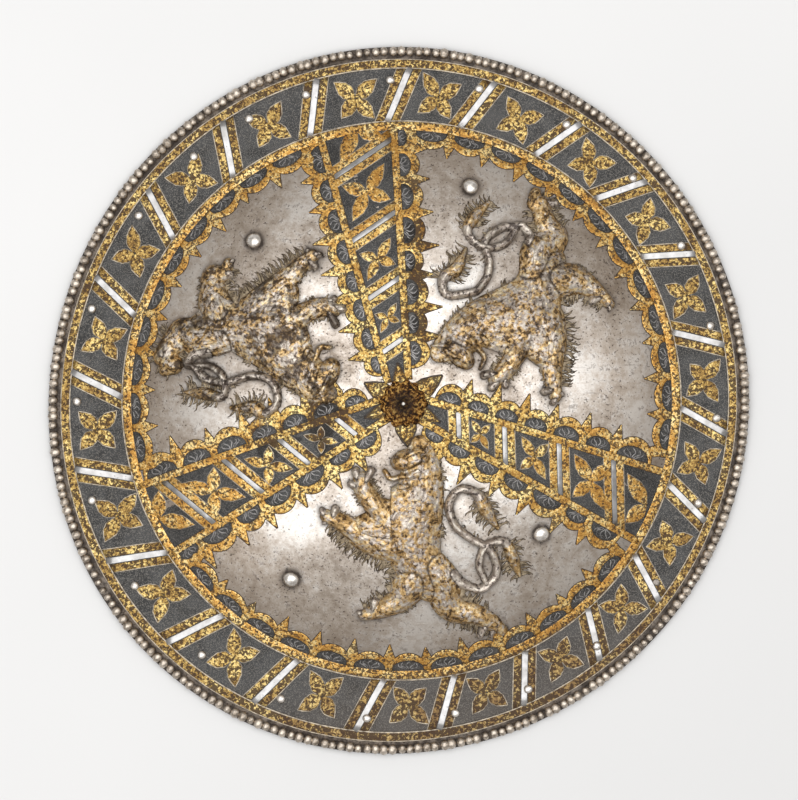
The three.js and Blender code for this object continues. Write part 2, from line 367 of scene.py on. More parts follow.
def giltFinish(name, bare=0.52):
    # leaf gilding on steel, etched and rubbed through to dark brown specks; paler on the crown of
    # the dome and orange on its slope as painted light, one gilt coloured for two angles; brown on the border
    finish = Finish(name)
    edge, slope = finish.radius().between(136, 140), finish.radius().between(45, 118)
    blotch, fleck = finish.noise(8.0, 4, 0.6), finish.noise(0.8, 3, 0.6)
    speck = finish.noise(1.5, 3, 0.62, warp=0.5)
    rub, soot = rubbedMask(finish), smudgeMask(finish, blotch)
    # painted light: the crown and steep ramps are lit and shaded copies of one gilt, blended by the slope
    crown, steep, worn = (
        finish.ramp(blotch * 0.5 + fleck * 0.5, *zip((0.4, 0.5, 0.58), colors)) for colors in (
            ("8c6836", "bd9c58", "e8d594"), ("b07e3e", "deae5e", "ffe6a6"),
            ("644c2c", "a0834a", "d6bf80")))
    dark = speck * 0.7 + blotch * 0.18 + fleck * 0.12 + rub * 0.03 + edge * 0.02 + soot * 0.09
    dark = dark.between(bare - 0.012, bare + 0.018)
    color = finish.coats(crown, (slope, steep), (edge, worn), (rub * edge * 0.6, "6a5640"),
                         (dark * 0.9, "3d291b"), (soot * 0.35, "3d2a1a"))
    return finish.done(color, 0.9 - dark * 0.5, 0.36 + dark * 0.3 + fleck * 0.1,
                       fleck * 0.3 + speck * 0.3 - dark * 0.6, 0.12)


def silverFinish():
    finish = Finish("silver inlay")
    cloud, speck = finish.noise(6, 4, 0.6), finish.noise(1.4, 4, 0.7).between(0.62, 0.7)
    color = finish.coats(finish.ramp(cloud, (0.35, "9a9896"), (0.6, "b9b8b8")), (speck * 0.6, "77706a"))
    return finish.done(color, 1.0, 0.27 + speck * 0.2 + cloud * 0.1, cloud * 0.4 - speck * 0.5, 0.08)


def groundFinish():
    # blue-black ground cut with fine crossed lines half a millimetre apart
    finish = Finish("hatched ground")
    x, y, z = finish.axes()
    pitch = math.pi / 0.00085
    lines = ((x + y) * pitch).math("SINE").math("ABSOLUTE") * ((x - y) * pitch).math("SINE").math("ABSOLUTE")
    cloud = finish.noise(9, 4, 0.6)
    color = finish.coats(finish.ramp(cloud, (0.38, "3b3b3b"), (0.6, "545454")),
                         ((1 - lines.between(0.05, 0.6)) * 0.6, "1d1b1a"),
                         (finish.noise(0.55, 2, 0.6).between(0.52, 0.6) * 0.5, "86827c"),
                         (finish.noise(1.3, 4, 0.7).between(0.6, 0.72) * 0.4, "8d8175"),
                         (rubbedMask(finish) * 0.3, "6b6158"), (smudgeMask(finish, cloud) * 0.7, "1f1a17"))
    return finish.done(color, 0.75, 0.5 + cloud * 0.15, lines, 0.06)


def lineFinish(name, low, high, metal):
    # thin engraved or outlining lines
    finish = Finish(name)
    cloud = finish.noise(2.2, 4, 0.65)
    return finish.done(finish.ramp(cloud, (0.36, low), (0.62, high)), metal, 0.42 + cloud * 0.2, cloud, 0.05)


def lionFinish(name, dark):
    # gilt hide: streaks run along each limb, with bare grey patches and dark cut hair lines
    finish = Finish(name)
    u, v, limb = finish.axes(finish.attribute("fur", "Vector"))
    flow = finish.vector(u * 0.16, v * 0.95 + (u * 0.9).math("SINE") * 0.12, limb * 7.3)
    strand = finish.noise(1.0, 4, 0.6, flow)
    tuft = finish.noise(1.0, 2, 0.5, finish.vector(u * 0.1, v * 0.3, limb * 3.1))
    blotch, patch = finish.noise(6.5, 5, 0.66, warp=0.8), finish.noise(3.2, 5, 0.7, warp=0.5)
    grain, char = finish.noise(1.8, 3, 0.6, warp=0.4), finish.noise(11, 4, 0.65, warp=0.6)
    crease, rim, core, bare = (finish.attribute(key) for key in ("crease", "rim", "core", "bare"))
    gold = finish.ramp(blotch * 0.6 + grain * 0.4, (0.4, "82643c"), (0.5, "c4a26e"), (0.6, "ecdcb6"))
    worn = (patch * 0.55 + blotch * 0.45 + core * 0.05 + bare * 0.3).between(0.5, 0.58)
    grey = finish.ramp(grain * 0.35 + patch * 0.65 + bare * 0.06,
                       (0.42, "7a7374"), (0.52, "a19a99"), (0.62, "d3cdc6"))
    hair = strand.between(0.54, 0.62)
    nicks = 1 - (grain * 0.7 + blotch * 0.3).between(0.41 + 0.04 * dark, 0.45 + 0.04 * dark)
    shadeLine = (crease + rim).clamp()
    # the second coat: larger blackened places on the darker lions
    color = finish.coats(gold, (worn * 0.8, grey), (char.between(0.5, 0.58) * dark * 0.85, "40352c"),
                         (hair * (0.45 + 0.15 * dark), "574532"), (nicks * 0.75, "352c26"),
                         (shadeLine * 0.75, "3f342b"))
    return finish.done(color, 0.85 - hair * 0.2, 0.36 + hair * 0.2 + shadeLine * 0.2,
                       strand * 0.9 + tuft * 0.9 + grain * 0.5 - shadeLine * 0.6, 0.4)


def bossFinish():
    finish = Finish("blackened gilt boss")
    radius, blotch = finish.radius(*shield["boss"]), finish.noise(1.5, 4, 0.65, warp=0.5)
    color = finish.ramp(blotch, (0.42, "241810"), (0.5, "5c3a1c"), (0.55, "a37030"), (0.62, "dcb468"))
    # painted shade: the middle is darkened where the boss sinks around its point
    color = finish.coats(color, ((1 - (radius - blotch * 3).between(1.5, 9.0)) * 0.9, "1e1611"),
                         # painted highlight: a pale dot on the point in the middle
                         (1 - radius.between(0.5, 0.9), "e8e4dc"))
    return finish.done(color, 0.8, 0.4 + blotch * 0.2, blotch, 0.3)


def rivetFinish(name, low, high):
    finish = Finish(name)
    cloud, nick = finish.noise(3.0, 4, 0.6), finish.noise(1.0, 3, 0.7).between(0.64, 0.72)
    color = finish.coats(finish.ramp(cloud, (0.35, low), (0.6, high)), (nick * 0.6, "5a5048"))
    return finish.done(color, 1.0, 0.26 + cloud * 0.12 + nick * 0.2, cloud * 0.5 - nick * 0.5, 0.12)


def floorFinish():
    finish = Finish("pale floor")
    x, y, z = finish.axes()
    pale = finish.ramp(finish.noise(240, 2, 0.5), (0.3, 0.675), (0.7, 0.705))
    # painted shade: the floor darkens towards the lower right
    return finish.done(finish.mix((x - y).between(-0.25, 0.45) * 0.75, pale, 0.6), 0.0, 0.9)


finishes = {
    "steel": steelFinish(),
    "gilt": giltFinish("fire gilding"),
    "petal": giltFinish("dark gilding of the boss", 0.485),
    "giltFine": giltFinish("fire gilding of the flowers", 0.535),
    "silver": silverFinish(),
    "ground": groundFinish(),
    "paleLine": lineFinish("pale engraved line", "776e62", "bdb19f", 0.9),
    "darkLine": lineFinish("dark outline", "231c17", "4a3d31", 0.3),
    "scroll": lineFinish("silver scrolls", "5c5a5a", "a3a09e", 0.9),
    "boss": bossFinish(),
    "rivet": rivetFinish("rivet steel", "b5aea6", "e9e4de"),
    "stump": rivetFinish("broken rivet", "6a645e", "948d86"),
    "bead": rivetFinish("beaded rim", "857a6e", "cabfb2"),
    "floor": floorFinish(),
    "hairDark": lineFinish("cut hair lines", "211a15", "40342b", 0.3),
    "hairGilt": lineFinish("locks of hair", "5a4d3e", "ab9c84", 0.85),
}
print("finishes made")

# One design of lion, strayed in each field; a move is a place and how far it shifts.
lionFields = [
    {"towards": 270, "dark": 0.0, "moves": [[0, 60, 0, 0]]},
    {"towards": 30, "dark": 0.5, "moves": [
        [9, 22, 2, 6], [-3, 31, 2, 7], [0, 43, 4, 8], [-20, 38, 6, 7], [-37, 56, 1, 10], [19, 50, 5, 8],
        [-8, 79, 3, 11], [22, 80, 4, 5], [5, 90, 8, 8], [-18, 106, 9, 7], [22, 92, 10, 6], [36, 106, 9, 1],
        [50, 114, 6, -5], [47, 83, 2, 1], [26, 58, 5, 5], [36, 45, 4, 1], [43, 57, 1, 2], [55, 78, 6, -1]]},
    {"towards": 150, "dark": 0.9, "moves": [
        [9, 22, 6, 11], [-3, 31, 4, 8], [0, 43, 2, 10], [-20, 38, -2, 13], [-37, 56, -3, 17], [19, 60, 1, 12],
        [-8, 79, 3, 14], [24, 86, 2, 9], [5, 90, 2, 11], [-3, 99, -1, 11], [-18, 106, 3, 2], [21, 94, 3, 12],
        [31, 104, 4, 8], [50, 114, -4, -5], [47, 83, -8, 6], [26, 58, 0, 8], [34, 44, 2, 9], [43, 57, -2, 8],
        [55, 78, -9, 9]]},
]
# Stations of a limb: across, out from the centre, half width, height.
lionLimbs = {
    "trunk": [[9, 22, 5, 2], [9.5, 32, 9.5, 4.4], [9, 46, 12, 5], [2.5, 62, 17.5, 6], [6, 75, 13.5, 5.5],
              [11, 85, 11, 5], [14, 93, 7, 3.5]],
    "ear": [[11, 25, 2.2, 4.2], [13.5, 20.5, 1.0, 2.6]],
    "brow": [[9, 24.5, 2.4, 4.2], [4.5, 26, 2.0, 5.0], [1.5, 28, 1.5, 4.8]],
    "muzzle": [[8, 29, 6.5, 4.5], [2.4, 29.6, 5.8, 4.8], [-1.2, 30.2, 4.3, 4.2]],
    "cheek": [[8, 35, 4.2, 5.2], [4, 37, 3, 4.8]],
    "eye": [[11.3, 28.0, 2.7, 6.0], [11.5, 28.3, 2.7, 6.0]],
    "jaw": [[8, 40, 4, 4], [3, 42, 3, 3.6], [-1, 42.6, 1.8, 2.6]],
    "tongue": [[2, 37, 1.6, 3], [-5, 38.4, 1.5, 2.6], [-8.3, 34.6, 1.2, 2.2]],
    "chest": [[5, 58, 13, 5], [-3, 63, 13, 5], [-11, 64, 11, 4.6], [-18, 63, 7, 4.2]],
    "chestTuft": [[-1, 54, 4, 4], [-9, 49, 1.2, 1.6]],
    "upperForeleg": [[-5, 61, 8, 5], [-13, 52, 5.6, 4.6], [-18.5, 44, 5, 4.2], [-20, 38.5, 4, 3.6]],
    "upperClaw": [[-21, 40, 1.8, 3], [-22.5, 34.6, 2.2, 3.4]],
    "innerClaw": [[-18, 40, 1.8, 3], [-15, 34.4, 2.2, 3.4]],
    "outerClaw": [[-22, 42, 1.6, 2.6], [-25, 41, 1.8, 2.6]],
    "lowerForeleg": [[-5, 71, 10, 5.4], [-18, 67.5, 7.4, 4.8], [-28, 61, 5, 4.2], [-37, 57, 3.4, 3.4]],
    "lowerClaw": [[-34, 58, 1.8, 3], [-32.6, 53.4, 2.2, 3.4]],
    "lowerOuterClaw": [[-37, 57, 1.8, 2.8], [-39.2, 54.2, 1.7, 3]],
    "lowerThumb": [[-36, 59, 1.8, 2.4], [-38.5, 60.5, 1.0, 1.8]],
    "frontHindleg": [[9, 84, 7, 4.5], [5, 90, 9.4, 6], [-1, 98.5, 6.6, 5], [-10, 103.6, 4.6, 4],
                     [-19, 106.6, 2.8, 3]],
    "frontHindClaw": [[-14, 103, 1.8, 3], [-13.3, 99.6, 2.3, 3.4]],
    "frontHindToe": [[-18, 106, 1.8, 2.6], [-21.5, 105, 0.9, 1.8]],
    "backHindleg": [[14, 82, 9, 5], [21, 90, 8.6, 5.6], [21.5, 98, 8, 5], [26.5, 104, 6.8, 4.6],
                    [36, 106, 5.4, 4.2], [44, 110, 4.6, 3.8], [50, 114.5, 3, 3]],
    "backHindClaw": [[42, 111, 2.4, 3], [39, 116.8, 1.8, 2.6]],
    "backHindToe": [[46, 112, 2.4, 3], [44.6, 117, 1.4, 2.2]],
    "tail": [[24, 86, 4, 4], [31, 91, 2.6, 3.4], [40, 93, 2.3, 3.2], [47, 85, 2.3, 3.2], [44, 74, 2.3, 3.2],
             [34, 68, 2.2, 3.2], [26, 61, 2.2, 3.2], [23.4, 51, 2.2, 3.2], [29, 43.6, 2.2, 3.2],
             [37, 46, 2.6, 3.2], [41, 53, 3.8, 3.6], [47.5, 63, 1.2, 1.6]],
    "secondTail": [[42, 90.5, 1.8, 2.8], [38.4, 81, 2, 3], [42, 71, 2, 3.6], [51, 70, 2.4, 3],
                   [55, 78, 3.4, 3.4], [58.6, 87, 1, 1.6]],
}
lion = {"softness": 0.95, "grid": 0.5, "moveReach": 5.0, "perSpan": 6, "blend": 1.5, "margin": 8,
        "creaseHalf": 0.3, "creaseFrom": 0.6, "tuft": 17, "locks": 0.22, "cut": 0.35, "thick": 1.0,
        "deepest": -1.5}

# claws and tails are bare bright steel
bareLimbs = [name for name in lionLimbs if name.endswith(("Claw", "Toe", "Thumb", "tail", "Tail"))]
smoothLimbs = ["trunk", "chest", "chestTuft", "upperForeleg", "lowerForeleg", "brow", "cheek", "ear"]

# Fringes of hair: limb, from and to along it, side (1 is left of its run), count, length, sweep.
lionFringes = [
    ("trunk", 0.04, 0.62, 1, 51, 3.8, 0.9), ("trunk", 0.02, 0.14, -1, 14, 3.2, -0.6),
    ("trunk", 0.66, 0.86, -1, 27, 6.0, 0.5), ("lowerForeleg", 0.02, 0.95, 1, 61, 6.5, -0.35),
    ("upperForeleg", 0.3, 0.98, -1, 24, 3.5, -0.5), ("upperForeleg", 0.45, 0.95, 1, 15, 2.8, -0.4),
    ("lowerForeleg", 0.5, 0.95, -1, 14, 2.2, 0.5),
    ("frontHindleg", 0.3, 0.98, -1, 48, 5.5, -0.5), ("frontHindleg", 0.35, 0.6, 1, 14, 2.8, -0.4),
    ("backHindleg", 0.35, 0.78, 1, 42, 6.2, -0.45), ("backHindleg", 0.5, 0.98, -1, 41, 5.2, -0.5),
    ("tail", 0.8, 0.99, 1, 24, 6.2, 1.3), ("tail", 0.8, 0.99, -1, 24, 6.2, 1.3),
    ("tail", 0.3, 0.5, -1, 14, 3.0, 0.9),
    ("secondTail", 0.6, 0.99, 1, 24, 6.2, 1.3), ("secondTail", 0.6, 0.99, -1, 24, 6.2, 1.3),
    ("chestTuft", 0.2, 0.95, 1, 12, 3.8, 0.7), ("jaw", 0.2, 0.95, 1, 15, 3.0, 0.3),
]


def strayed(plan, moves):
    # a place follows the listed moves near it, weighted by the inverse square of distance squared
    moves = np.asarray(moves, float)
    gap = ((plan[..., None, :] - moves[:, :2]) ** 2).sum(-1) + lion["moveReach"] ** 2
    weight = 1 / gap ** 2
    weight /= weight.sum(-1, keepdims=True)
    return plan + weight @ moves[:, 2:]


def toField(plan, towards):
    turn = math.radians(towards)
    across, out = plan[..., 0], plan[..., 1]
    return np.stack([out * math.cos(turn) - across * math.sin(turn),
                     out * math.sin(turn) + across * math.cos(turn)], axis=-1)


def limbPaths(field):
    # every limb as a dense path of x, y, half width, height in the shield's frame
    paths = {}
    for name, stations in lionLimbs.items():
        path = smoothPath(stations, lion["perSpan"])
        path[:, :2] = toField(strayed(path[:, :2], field["moves"]), field["towards"])
        paths[name] = path
    return paths


def limbRelief(points, path):
    # for each point: height over the limb, signed distance outside it, length along, offset across;
    # the highest stretch of the limb counts, or the nearest one where the point lies outside
    a, b = path[:-1], path[1:]
    span = b[:, :2] - a[:, :2]
    length = np.linalg.norm(span, axis=1) + 1e-9
    start = np.cumsum(length) - length
    local = points[:, None] - a[:, :2]
    t = np.clip((local * span).sum(-1) / length ** 2, 0, 1)
    offset = local - t[..., None] * span
    gap = np.linalg.norm(offset, axis=-1)
    width, tall = (a[:, k] + t * (b[:, k] - a[:, k]) for k in (2, 3))
    rise = tall * np.clip(1 - (gap / width) ** 2, 0, 1) ** lion["softness"]
    side = np.sign(span[:, 0] * offset[..., 1] - span[:, 1] * offset[..., 0])
    best = np.where(rise.max(1) > 0, rise.argmax(1), (gap - width).argmin(1))
    chosen = np.arange(len(points)), best
    return np.stack([rise.max(1), (gap - width).min(1), (start + t * length)[chosen], (side * gap)[chosen]])


def lionRelief(points, paths):
    # union of the limbs: height, signed distance, fur coordinates, how near a crease between two
    # limbs lies, and which limbs are bare; it is softened by the log of summed exponentials
    heights = np.zeros((len(paths), len(points)))
    gaps, along = np.full(heights.shape, 9.0), np.zeros((len(paths), 2, len(points)))
    for index, path in enumerate(paths.values()):
        low, high = path[:, :2].min(0) - lion["margin"], path[:, :2].max(0) + lion["margin"]
        near = ((points > low) & (points < high)).all(1)
        if near.any():
            part = limbRelief(points[near], path)
            heights[index, near], gaps[index, near], along[index][:, near] = part[0], part[1], part[2:]
    order, top, second = np.sort(heights, axis=0), heights.argmax(0), np.argsort(heights, axis=0)[-2]
    blend = lion["blend"]
    rise = np.log(np.exp(blend * heights).sum(0) - (len(heights) - 1)) / blend
    # only the haunches, jaws and tails keep a cut line where they cross another limb
    cut = np.array([0.0 if name in smoothLimbs else 1.0 for name in paths])
    crease = (np.exp(-((order[-1] - order[-2]) / lion["creaseHalf"]) ** 2)
              * (order[-2] > lion["creaseFrom"]) * np.maximum(cut[top], cut[second]))
    fur = np.column_stack([along[top, :, np.arange(len(points))], top])
    # the tuft that ends a tail is gilt again
    length = np.array([np.linalg.norm(np.diff(path[:, :2], axis=0), axis=1).sum()
                       - (lion["tuft"] if "ail" in name else -9) for name, path in paths.items()])
    bare = np.array([1.0 if name in bareLimbs else 0.0 for name in paths])[top]
    return rise, gaps.min(0), fur, crease, bare * (fur[:, 0] < length[top])


def lionMesh(name, look, paths):
    everything = np.vstack(list(paths.values()))
    low, high = everything[:, :2].min(0) - 6, everything[:, :2].max(0) + 6
    gx, gy = np.meshgrid(*(np.arange(low[i], high[i], lion["grid"]) for i in (0, 1)), indexing="ij")
    points = np.stack([gx.ravel(), gy.ravel()], axis=1)
    rise, signed, fur, crease, bare = lionRelief(points, paths)
    # mane and hide: shallow locks that run along the limbs
    locks = np.sin(fur[:, 1] * 1.9 + 1.3 * np.sin(fur[:, 0] * 0.55 + fur[:, 2]))
    locks *= np.cos(fur[:, 0] * 0.8 + fur[:, 1] * 0.35)
    lift = np.where(signed < 0, rise + lion["locks"] * locks * np.clip(rise / 2, 0, 1)
                    - lion["cut"] * crease, -np.clip(signed, 0, 0.8) * 1.3)
    keep = (signed < 0.75).reshape(gx.shape)
    cell = keep[:-1, :-1] | keep[1:, :-1] | keep[1:, 1:] | keep[:-1, 1:]
    number = np.arange(gx.size).reshape(gx.shape)
    quads = np.stack([number[:-1, :-1], number[1:, :-1], number[1:, 1:], number[:-1, 1:]], -1)[cell]
    used, flat = np.unique(quads.ravel(), return_inverse=True)
    quads, count = flat.reshape(-1, 4), len(used)
    x, y, lift, gap = points[used, 0], points[used, 1], lift[used], signed[used]
    under = np.maximum(lift - lion["thick"], lion["deepest"])
    # the border: edges that only one quad has get a wall down to the underside
    edges = np.concatenate([quads[:, [k, (k + 1) % 4]] for k in range(4)]).astype(np.int64)
    rim = edges[~np.isin(edges[:, 1] * count + edges[:, 0], edges[:, 0] * count + edges[:, 1])]
    walls = np.stack([rim[:, 1], rim[:, 0], rim[:, 0] + count, rim[:, 1] + count], axis=1)
    values = {"fur": np.tile(fur[used], (2, 1))}
    for key, data in (("crease", crease[used]), ("bare", bare[used]), ("core", np.clip(-gap / 9, 0, 1)),
                      ("rim", np.clip(1 + gap / 0.8, 0, 1) ** 2)):
        values[key] = np.tile(data, 2)
    shape = np.vstack([onFace(x, y, lift), onFace(x, y, under)]), [quads, quads[:, ::-1] + count, walls]
    makePiece(name, look, shape, values=values)
    print(name, len(quads) * 4, "triangles")


hair = {"lean": 1.7, "curl": 0.45, "inside": 1.2, "outline": 0.16, "crown": 0.45,
        "taper": [0.7, 0.75, 0.64, 0.46, 0.25, 0.03]}


def hairFringe(paths, seed):
    # tapering locks along the limbs' edges: each starts inside the edge and sweeps outwards
    local = np.random.default_rng(seed)
    allPaths, allWidths = [], []
    for limb, fromShare, toShare, side, count, length, sweep in lionFringes:
        path = paths[limb]
        at = np.sort(local.uniform(fromShare, toShare, count)) * (len(path) - 1)
        low = np.minimum(at.astype(int), len(path) - 2)
        here = path[low] + (path[low + 1] - path[low]) * (at - low)[:, None]
        along = unit(path[low + 1, :2] - path[low, :2])
        across = quarterTurn(along) * side
        lean = sweep * hair["lean"] + local.normal(0, 0.16, count)
        away = unit(across + along * lean[:, None])
        curl = local.normal(0, 0.2, count) + hair["curl"] * np.sign(sweep) * side
        bend = quarterTurn(away) * curl[:, None]
        size = length * local.uniform(0.65, 1.05, count)
        t = np.linspace(0, 1, len(hair["taper"]))[None, :, None]
        base = here[:, :2] + across * (here[:, 2:3] - hair["inside"])
        wave = bend[:, None] * (t ** 2 - 0.3 * np.sin(2 * np.pi * t))
        allPaths.append(base[:, None] + (away[:, None] * t + wave) * size[:, None, None])
        allWidths.append(np.outer(local.uniform(0.5, 0.95, count), hair["taper"]))
    return np.concatenate(allPaths), np.concatenate(allWidths)


hairSteps = np.array([-1.0, 0.0, 1.0])
lionLayouts = []
for number, field in enumerate(lionFields, 1):
    paths, name = limbPaths(field), "lion_%d" % number
    lionLayouts.append(paths)
    finishes[name] = lionFinish("gilt lion %d" % number, field["dark"])
    lionMesh(name, name, paths)
    strokes, halves = hairFringe(paths, 40 + number)
    makePiece(name + "_hair_outline", "hairDark",
              inlay(strokes, halves + hair["outline"], 0.08, 0.0, steps=hairSteps))
    makePiece(name + "_hair", "hairGilt", inlay(strokes, halves, 0.12, hair["crown"], steps=hairSteps))
print("lions made")

rivets = {
    # half width and height of the head, half width of the shank
    "small": (2.3, 2.0, 1.1), "large": (4.0, 3.2, 2.0), "stumpHead": 1.9,
    "around": 28, "first": 13.6, "sheared": 21, "seat": 160.2,
    # the small ones are spaced as listed: degrees from each to the next
    "steps": [15.4, 14.9, 15.2, 16.9, 16, 15.4, 11, 12, 14.5, 18.6, 16.7, 17.7, 16.9, 17.1, 16.1, 15.8, 16,
              13.9, 14.8, 16, 16.4, 15.9],
    "largeSpots": [[111.6, 72.1], [107.9, 132.7], [104.3, 238.3], [95.8, 316.3]],
}
rivetAngles = rivets["first"] + np.concatenate([[0], np.cumsum(rivets["steps"])])
rivetSeats = (rivets["seat"] + 2.2 * np.cos(np.radians(rivetAngles - 168))
              + 1.6 * np.cos(np.radians(2 * rivetAngles - 88)))
rivetSeats = rivetSeats - outlineShift(rivetSeats, np.radians(rivetAngles))
smallPlaces = polar(rivetSeats, rivetAngles)
largePlaces = polar(*np.array(rivets["largeSpots"]).T)


def rivetShape(spot, head, rise, shank, sheared=False):
    # a turned body: domed head, shank, and a flatter dome where it is peened behind
    quarter, sheet = np.linspace(0, np.pi / 2, 9)[1:], shield["sheet"]
    if sheared:
        rise = 0.66
        top = [[0.45 * head, 0.62], [0.8 * head, 0.5], [0.95 * head, 0.25], [head, 0.0]]
    else:
        top = np.stack([head * np.sin(quarter), rise * np.cos(quarter) ** 0.9], 1).tolist()
    tail = np.stack([0.8 * head * np.cos(quarter), -sheet - 0.5 * head * np.sin(quarter)], 1)
    profile = np.array(top + [[head * 0.98, -0.4], [shank, -0.45], [shank, -sheet + 0.1],
                              [0.8 * head, -sheet - 0.02]] + tail[:-1].tolist())
    around = rivets["around"]
    turn = circle(around)
    wobble = 1 + 0.025 * np.sin(2 * turn + spot[0]) + 0.015 * np.sin(3 * turn + spot[1])
    ring = np.stack([profile[:, :1] * np.cos(turn) * wobble, profile[:, :1] * np.sin(turn) * wobble,
                     np.repeat(profile[:, 1:], around, 1)], axis=-1)
    body = np.vstack([ring.reshape(-1, 3), [[0, 0, rise], [0, 0, -sheet - 0.5 * head]]])
    if sheared:
        broken = body[:around * 3]
        broken[:, 2] += 0.12 * np.sin(broken[:, 0] * 2.3 + 1) * np.cos(broken[:, 1] * 3)
    foot = onFace(*spot)
    up = onFace(*spot, 1.0) - foot
    side = unit(np.cross([0.3, 1, 0], up))
    points = foot + body @ np.stack([side, np.cross(up, side), up])
    return points, [f[:, ::-1] for f in closedFaces(len(profile), around)]


for index, spot in enumerate(smallPlaces, 1):
    gone = index == rivets["sheared"]
    head = rivets["stumpHead"] if gone else rivets["small"][0]
    makePiece("border_rivet_head_%02d" % index, "stump" if gone else "rivet",
              rivetShape(spot, head, *rivets["small"][1:], gone),
              slot="rivet_steel", nodes=["border_rivet_%02d" % index])
for index, spot in enumerate(largePlaces, 1):
    makePiece("field_rivet_head_%d" % index, "rivet", rivetShape(spot, *rivets["large"]),
              slot="rivet_steel", nodes=["field_rivet_%d" % index])
print("rivets made")

# The plate: front rings, turned edge, back rings.
plate = {"around": 420, "frontStep": 1.45, "backStep": 3.0, "edge": 1.75, "edgeOut": 2.35,
         "edgeSteps": 10, "hollow": 0.25, "push": 0.9, "groove": 167.4, "grooveDeep": 0.35}
# Black stains on the bare steel: radius, direction, size, strength.
stains = [[30, 206, 9, 0.8], [52, 213, 6, 0.7], [62, 110, 5, 0.3], [118, 262, 8, 0.25], [90, 20, 7, 0.2],
          [70, 66, 6, 0.35], [84, 120, 9, 0.35], [103, 171, 12, 0.3], [120, 205, 8, 0.3],
          [126, 300, 10, 0.25]]


# How dark each kind of place is made, and how far it reaches around a rivet: painted shade at the dome's
# foot, patina in the groove, darker near the lions, rivets and turned edge.
dirtAndShade = {"lions": 0.7, "rivets": 1.1, "rivetReach": 1.6, "foot": 0.35, "rim": 0.88, "edge": 0.95}


def grimeAndShadeAt(plan, lionGap):
    # darker close around the lions and in rings at the rivets, real stains, patina in the groove, and painted
    # shade at the dome's foot
    radius = np.hypot(*plan.T)
    grime = dirtAndShade["lions"] * np.exp(-np.clip(lionGap, 0, None))
    for spots, head in ((largePlaces, rivets["large"][0]), (smallPlaces, rivets["small"][0])):
        gap = np.hypot(plan[:, None, 0] - spots[:, 0], plan[:, None, 1] - spots[:, 1]).min(1) - head
        grime = grime + dirtAndShade["rivets"] * np.exp(-(np.clip(gap, 0, None) / dirtAndShade["rivetReach"]) ** 1.5)
    for away, degrees, size, strength in stains:
        gap = np.hypot(*(plan - polar(away, degrees)).T)
        grime = grime + strength * np.exp(-(gap / size) ** 2)
    # painted shade: darker towards the foot of the dome, where it turns into the border
    grime = grime + dirtAndShade["foot"] * smoothStep(radius, 118, 134) * (radius < shield["dome"] + 2)
    grime = grime + dirtAndShade["rim"] * smoothStep(radius, plate["groove"] - 0.4, plate["groove"] + 0.6)
    return np.clip(grime, 0, 1)


def plateShape():
    turn = circle(plate["around"])
    limit = shield["radius"] - shield["roll"] - plate["edge"] + 0.1
    front = np.linspace(limit, 0, round(limit / plate["frontStep"]))[:-1]
    back = np.linspace(0, limit, round(limit / plate["backStep"]))[1:]
    grids = []
    for radii in (back, front):
        plan = np.stack([np.outer(radii, np.cos(turn)), np.outer(radii, np.sin(turn))], -1).reshape(-1, 2)
        rise, gap = np.zeros(len(plan)), np.full(len(plan), 9.0)
        for paths in lionLayouts:
            one, signed = lionRelief(plan, paths)[:2]
            rise, gap = np.maximum(rise, one), np.minimum(gap, signed)
        grids.append((plan, rise, gap))
    (backPlan, backRise, _), (frontPlan, frontRise, frontGap) = grids
    backLift = -shield["sheet"] + plate["hollow"] * np.clip(backRise - 0.3, 0, None)
    # a shallow groove runs inside the turned edge
    frontLift = plate["push"] * np.clip(frontRise - 1.2, 0, None) - plate["grooveDeep"] * smoothStep(
        np.hypot(*frontPlan.T), plate["groove"], plate["groove"] + 1)
    # the turned edge: most of a circle from the back, out and round to the front
    sweep = np.radians(np.linspace(-150, 150, plate["edgeSteps"]))[:, None]
    outward = np.cos(sweep)
    radius = (shield["radius"] - shield["roll"]
              + outward * np.where(outward > 0, plate["edgeOut"], plate["edge"]))
    radius = radius + outlineShift(radius, turn[None])
    height = np.broadcast_to(plate["edge"] * (1 + np.sin(sweep)) + 0.02, radius.shape)
    edge = np.stack([radius * np.cos(turn), radius * np.sin(turn), height], axis=-1).reshape(-1, 3)
    points = np.vstack([onFace(*backPlan.T, backLift), edge, onFace(*frontPlan.T, frontLift),
                        onFace(0.0, 0.0, -shield["sheet"]), onFace(0.0, 0.0, 0.0)])
    # the turned edge under the beads is darkened all over
    grime = np.concatenate([np.zeros(len(backPlan)), np.full(len(edge), dirtAndShade["edge"]),
                            grimeAndShadeAt(frontPlan, frontGap), [0, 1]])
    faces = closedFaces(len(back) + plate["edgeSteps"] + len(front), plate["around"])
    print("plate,", 2 * len(faces[0]) + len(faces[1]), "triangles")
    return (points, faces), {"grime": grime}


body, attributes = plateShape()
makePiece("shield_body", "steel", body, values=attributes, nodes=["shield_plate"])

# The beaded rim, a few dozen faces a bead; a flattened place is a direction and a width.
beads = {"count": 256, "around": 8, "rings": 5, "height": 2.95, "long": 2.35, "wide": 2.6, "tall": 2.05,
         "flattened": [(212, 3.5), (317, 2.5), (96, 1.5), (20, 1.2)]}


